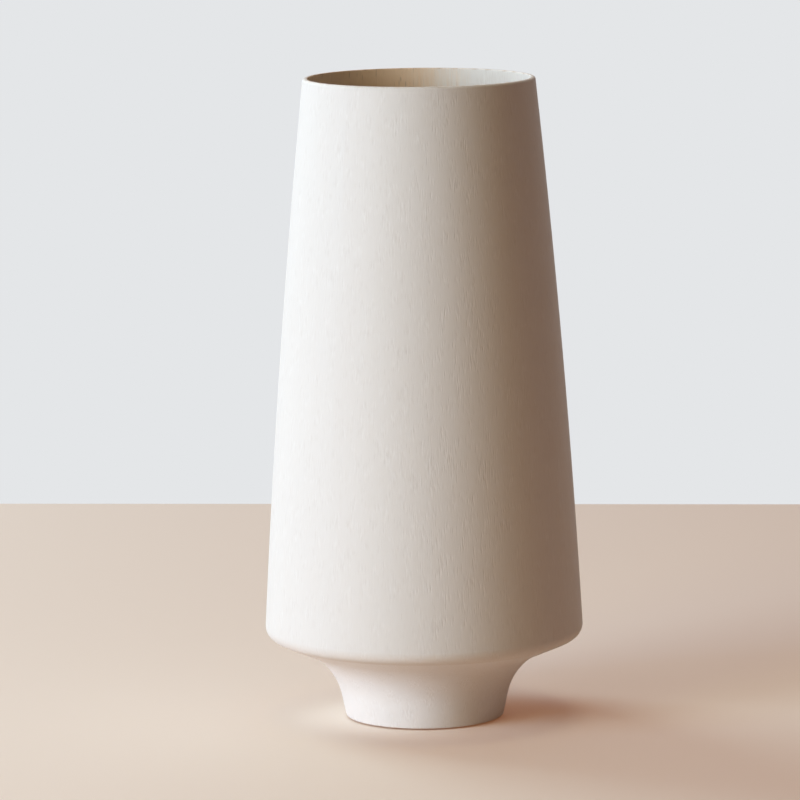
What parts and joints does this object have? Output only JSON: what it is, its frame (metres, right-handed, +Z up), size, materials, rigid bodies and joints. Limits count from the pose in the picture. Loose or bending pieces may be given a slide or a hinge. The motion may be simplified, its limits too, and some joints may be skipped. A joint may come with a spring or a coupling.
{
  "type": "wooden vase",
  "caption": "Tall stave-built wooden vase with a pale white-washed finish, a thin round mouth, a coved foot and a lift-out glass liner.",
  "frame": {"origin": "on the vase's axis, on the surface it stands on", "axes": "+Z up along the vase's axis"},
  "size_m": [0.1484, 0.1484, 0.3],
  "materials": {
    "whitewashed_wood": "matt white-washed hardwood with fine upright pores",
    "plate_wood": "matt white-washed hardwood, plain turned",
    "foot_wood": "matt white-washed hardwood, fine turned",
    "felt": "pressed wool felt",
    "clear_glass": "clear, fire-polished rim"
  },
  "bodies": {
    "vase": {"stave_01": "whitewashed_wood", "stave_02": "whitewashed_wood", "stave_03": "whitewashed_wood", "stave_04": "whitewashed_wood", "stave_05": "whitewashed_wood", "stave_06": "whitewashed_wood", "stave_07": "whitewashed_wood", "stave_08": "whitewashed_wood", "stave_09": "whitewashed_wood", "stave_10": "whitewashed_wood", "stave_11": "whitewashed_wood", "stave_12": "whitewashed_wood", "stave_13": "whitewashed_wood", "stave_14": "whitewashed_wood", "stave_15": "whitewashed_wood", "stave_16": "whitewashed_wood", "stave_17": "whitewashed_wood", "stave_18": "whitewashed_wood", "base_plate": "plate_wood", "foot": "foot_wood", "felt_pad": "felt"},
    "liner": {"glass_liner": "clear_glass"}
  },
  "joints": [
    {"name": "liner_lift", "type": "slide", "parent": "vase", "child": "liner", "axis": [0, 0, 1], "range_m": [0, 0.26]}
  ]
}
